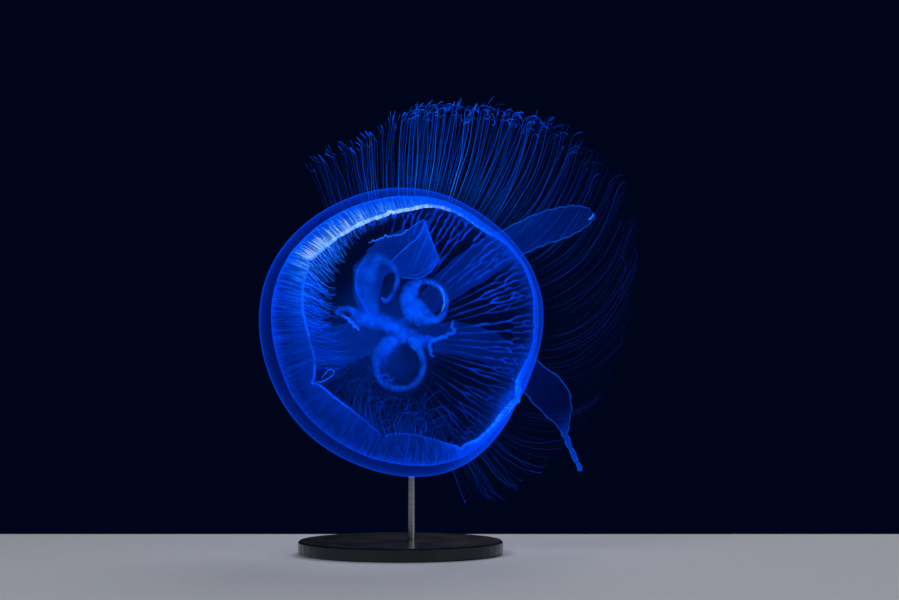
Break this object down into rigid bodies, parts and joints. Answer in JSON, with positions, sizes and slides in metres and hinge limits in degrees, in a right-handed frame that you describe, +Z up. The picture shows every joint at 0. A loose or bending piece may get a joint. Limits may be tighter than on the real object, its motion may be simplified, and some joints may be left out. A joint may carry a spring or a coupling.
{
  "type": "moon jellyfish model",
  "caption": "Moon jellyfish model with a soft folded bell margin, horseshoe gonads, frilled oral arms and fanned tentacles, held by a rod on a round display base.",
  "frame": {"origin": "middle of the bounding box, at the level of the underside of the stand's base", "axes": "+Z up; -Y the way the crown of the bell faces; +X to the right as seen from the crown's side"},
  "size_m": [0.3391, 0.2184, 0.3968],
  "materials": {
    "jelly": "wet translucent blue jelly",
    "margin": "wet translucent blue jelly, brighter at the edge",
    "gonad": "satin, cloudy blue tissue",
    "arm": "satin translucent blue tissue",
    "base": "satin black acrylic",
    "steel": "brushed"
  },
  "bodies": {
    "root": {"bell_dome": "jelly", "gonad_bottom": "gonad", "gonad_left": "gonad", "gonad_upper_left": "gonad", "gonad_upper_right": "gonad", "manubrium": "gonad", "margin_lobe_1": "margin", "margin_lobe_2": "margin", "margin_lobe_3": "margin", "margin_lobe_4": "margin", "margin_lobe_5": "margin", "margin_lobe_6": "margin", "margin_lobe_7": "margin", "margin_lobe_8": "margin", "oral_arm_left_blade": "arm", "oral_arm_left_root": "arm", "oral_arm_lower_right_blade": "arm", "oral_arm_lower_right_root": "arm", "oral_arm_lower_right_tail": "arm", "oral_arm_top_blade": "arm", "oral_arm_top_root": "arm", "oral_arm_upper_right_blade": "arm", "oral_arm_upper_right_root": "arm", "stand_base": "base", "stand_rod": "steel"}
  },
  "joints": []
}
